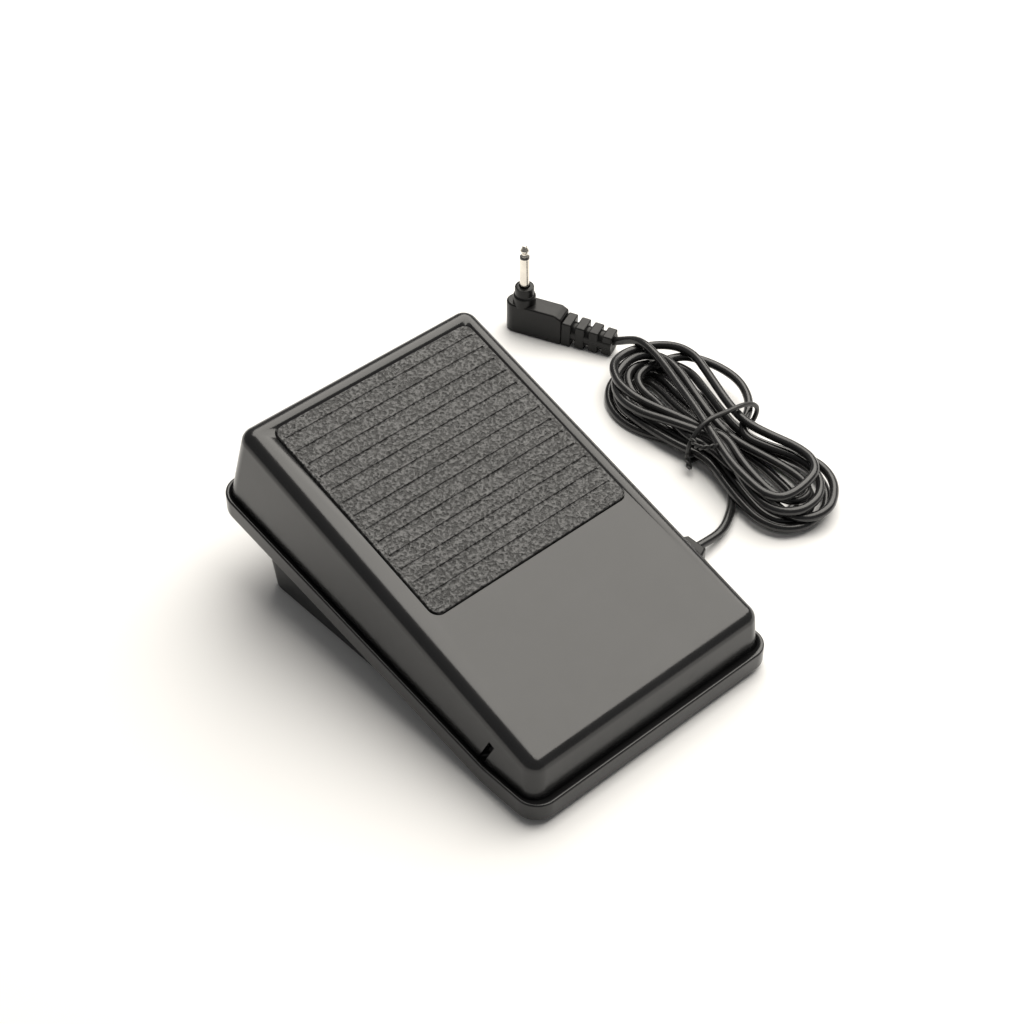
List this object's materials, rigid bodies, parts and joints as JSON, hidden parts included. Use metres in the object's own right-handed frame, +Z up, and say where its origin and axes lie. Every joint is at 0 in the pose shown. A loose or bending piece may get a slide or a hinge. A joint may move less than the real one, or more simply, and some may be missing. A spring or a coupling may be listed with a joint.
{
  "type": "sewing machine foot control",
  "caption": "Hinged black treadle on a wedge base with a speed sensor inside, and a tied hank of thin cord ending in a right-angle jack.",
  "frame": {"origin": "on the floor, under the middle of the rim's box", "axes": "+Z up; +Y from the thin hinge end to the thick end; +X towards the side where the cord leaves"},
  "size_m": [0.1865, 0.1812, 0.0623],
  "materials": {
    "cover_plastic": "satin moulded plastic",
    "panel_plastic": "pebbled moulded plastic",
    "base_plastic": "moulded plastic",
    "rubber": "soft rubber",
    "cord_rubber": "smooth flexible sheath",
    "tie_plastic": "plastic-coated wire",
    "component_plastic": "moulded plastic",
    "white_plastic": "moulded plastic",
    "board": "lacquered laminate",
    "steel": "plated steel",
    "sensor_metal": "plain metal",
    "nickel": "nickel plate"
  },
  "bodies": {
    "base": {"base_tray": "base_plastic", "rubber_feet": "rubber", "hinge_pin": "steel", "return_spring_right": "steel", "return_spring_left": "steel", "stop_pads": "rubber", "control_board": "board", "board_parts": "component_plastic", "board_screws": "steel", "sensor_bracket": "steel", "bracket_screws": "steel", "potentiometer": "sensor_metal", "sensor_nut": "steel", "strain_relief": "cord_rubber", "inner_cord": "cord_rubber", "core_wires": "component_plastic", "cord_clamp": "base_plastic", "clamp_screws": "steel", "cord_lead": "cord_rubber", "cord_hank": "cord_rubber", "cord_tail": "cord_rubber", "cord_tie": "tie_plastic", "plug_body": "cord_rubber", "plug_sleeve": "cord_rubber", "jack_sleeve": "nickel", "jack_ring": "component_plastic", "jack_tip": "nickel"},
    "treadle": {"treadle_cover": "cover_plastic", "rim_frame": "cover_plastic", "tread_panel": "panel_plastic", "drive_fork": "steel", "fork_screw": "steel"},
    "sensor_lever": {"sensor_shaft": "sensor_metal", "sensor_arm": "white_plastic"}
  },
  "joints": [
    {"name": "treadle_press", "type": "hinge", "parent": "base", "child": "treadle", "pos_m": [0, -0.0505, 0.0125], "axis": [-1, 0, 0], "range_deg": [0, 6], "stiffness_Nm_per_rad": 8, "springref_deg": -2.86, "deforming": ["return_spring_right", "return_spring_left"]},
    {"name": "sensor_turn", "type": "hinge", "parent": "base", "child": "sensor_lever", "pos_m": [0, -0.008, 0.017], "axis": [1, 0, 0], "range_deg": [-30, 0]}
  ],
  "couplings": [
    {"joint": "sensor_turn", "follows": "treadle_press", "ratio": -4.55}
  ]
}
